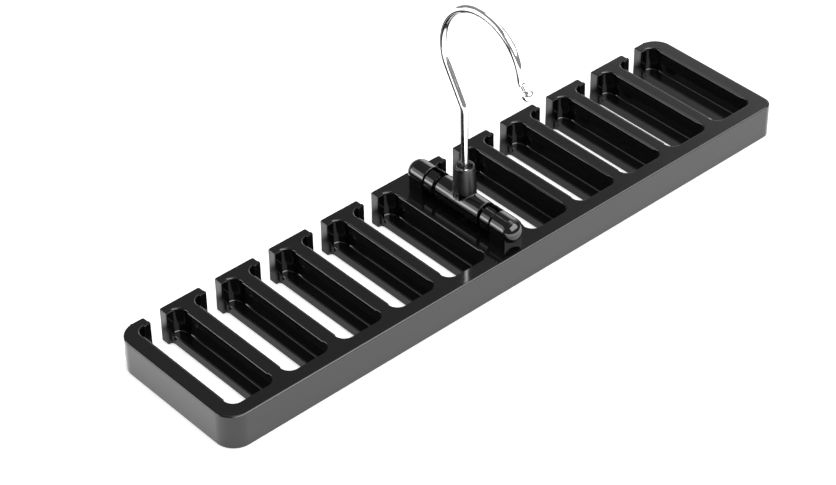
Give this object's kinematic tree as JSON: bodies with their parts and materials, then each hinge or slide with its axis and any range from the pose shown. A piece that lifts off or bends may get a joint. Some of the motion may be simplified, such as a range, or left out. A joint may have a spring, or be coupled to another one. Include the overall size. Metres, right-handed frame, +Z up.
{
  "type": "belt hanger",
  "caption": "Black plastic belt hanger: a long comb of open-mouthed slots on a spine, with a chrome wire hook on a folding, swivelling pivot.",
  "frame": {"origin": "on the comb's flat underside, straight below the hook's swivel axis", "axes": "+X along the comb, +Y from the spine to the open mouths of the slots, +Z up through the hook"},
  "size_m": [0.305, 0.0761, 0.1207],
  "materials": {
    "black_plastic": "high-gloss moulded",
    "hook_chrome": "bright plated",
    "zinc_steel": "zinc plated"
  },
  "bodies": {
    "comb": {"spine_rail": "black_plastic", "end_frame_left": "black_plastic", "end_frame_right": "black_plastic", "centre_finger": "black_plastic", "belt_finger_1": "black_plastic", "belt_finger_2": "black_plastic", "belt_finger_3": "black_plastic", "belt_finger_4": "black_plastic", "belt_finger_5": "black_plastic", "belt_finger_6": "black_plastic", "belt_finger_7": "black_plastic", "belt_finger_8": "black_plastic", "pivot_post_front": "black_plastic", "pivot_post_back": "black_plastic", "pivot_pin_front": "black_plastic", "pivot_pin_back": "black_plastic", "friction_collar_front": "black_plastic", "friction_collar_back": "black_plastic"},
    "yoke": {"swivel_yoke": "black_plastic"},
    "hook": {"hook_wire": "hook_chrome", "hook_retaining_washer": "zinc_steel", "hook_tip_ball": "hook_chrome"}
  },
  "joints": [
    {"name": "hook_fold", "type": "hinge", "parent": "comb", "child": "yoke", "pos_m": [0, 0, 0.0227], "axis": [0, 1, 0], "range_deg": [-90, 90]},
    {"name": "hook_swivel", "type": "hinge", "parent": "yoke", "child": "hook", "pos_m": [0, 0, 0.0394], "axis": [0, 0, 1], "range_deg": [-180, 180]}
  ]
}
